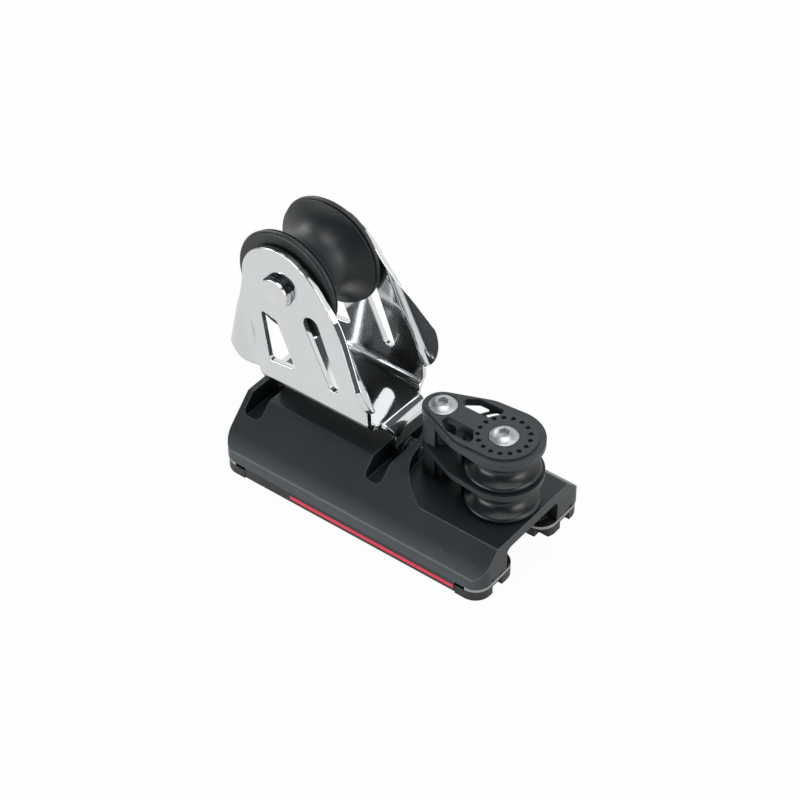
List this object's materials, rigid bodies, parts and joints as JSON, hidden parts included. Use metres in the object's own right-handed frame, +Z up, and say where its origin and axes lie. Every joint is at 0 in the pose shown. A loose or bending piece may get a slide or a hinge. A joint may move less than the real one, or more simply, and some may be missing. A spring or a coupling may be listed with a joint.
{
  "type": "adjustable track car",
  "caption": "Sheet-lead car for a track: a folded steel cage carries a large grooved sheave and leans on a ball-bearing body, with stacked control sheaves in front.",
  "frame": {"origin": "middle of the track channel's ceiling, where the body faces the track's top", "axes": "+X along the car to the control block, +Y to its left, +Z up away from the track"},
  "size_m": [0.1603, 0.083, 0.1378],
  "materials": {
    "black_anodised": "black anodised, semi-matt",
    "black_plastic": "moulded, satin",
    "black_sheave": "turned black, satin",
    "polished_steel": "polished stainless sheet",
    "satin_steel": "satin stainless",
    "bearing_plastic": "bearing polymer"
  },
  "bodies": {
    "car": {"base_washer": "satin_steel", "block_middle_cheek": "black_plastic", "block_top_cheek": "black_plastic", "car_body": "black_anodised", "centre_screw": "satin_steel", "front_inner_washer": "bearing_plastic", "front_outer_washer": "bearing_plastic", "left_ball_train": "bearing_plastic", "left_ball_tray": "black_plastic", "left_front_ball_band": "satin_steel", "left_front_cap_screw": "satin_steel", "left_front_end_cap": "black_plastic", "left_rear_ball_band": "satin_steel", "left_rear_cap_screw": "satin_steel", "left_rear_end_cap": "black_plastic", "left_side_strip": "black_plastic", "lower_hub_sleeve": "satin_steel", "lower_roller_set": "bearing_plastic", "nose_screw": "satin_steel", "pivot_clip": "satin_steel", "pivot_pin": "satin_steel", "rear_inner_washer": "bearing_plastic", "rear_outer_washer": "bearing_plastic", "right_ball_train": "bearing_plastic", "right_ball_tray": "black_plastic", "right_front_ball_band": "satin_steel", "right_front_cap_screw": "satin_steel", "right_front_end_cap": "black_plastic", "right_rear_ball_band": "satin_steel", "right_rear_cap_screw": "satin_steel", "right_rear_end_cap": "black_plastic", "right_side_strip": "black_plastic", "upper_hub_sleeve": "satin_steel", "upper_roller_set": "bearing_plastic"},
    "cage": {"sheave_cage": "polished_steel", "sheave_axle": "satin_steel", "main_roller_set": "bearing_plastic", "left_thrust_washer": "bearing_plastic", "right_thrust_washer": "bearing_plastic", "left_axle_clip": "satin_steel", "right_axle_clip": "satin_steel"},
    "main_sheave": {"main_sheave": "black_sheave"},
    "upper_control_sheave": {"upper_control_sheave": "black_sheave"},
    "lower_control_sheave": {"lower_control_sheave": "black_sheave"}
  },
  "joints": [
    {"name": "cage_lean", "type": "hinge", "parent": "car", "child": "cage", "pos_m": [0, 0, 0.0095], "axis": [1, 0, 0], "range_deg": [-30, 30]},
    {"name": "main_sheave_spin", "type": "hinge", "parent": "cage", "child": "main_sheave", "pos_m": [-0.0531, 0, 0.0897], "axis": [0, 1, 0], "continuous": true},
    {"name": "upper_sheave_spin", "type": "hinge", "parent": "car", "child": "upper_control_sheave", "pos_m": [0.0595, 0, 0.0344], "axis": [0, 0, 1], "continuous": true},
    {"name": "lower_sheave_spin", "type": "hinge", "parent": "car", "child": "lower_control_sheave", "pos_m": [0.0595, 0, 0.0153], "axis": [0, 0, 1], "continuous": true}
  ]
}
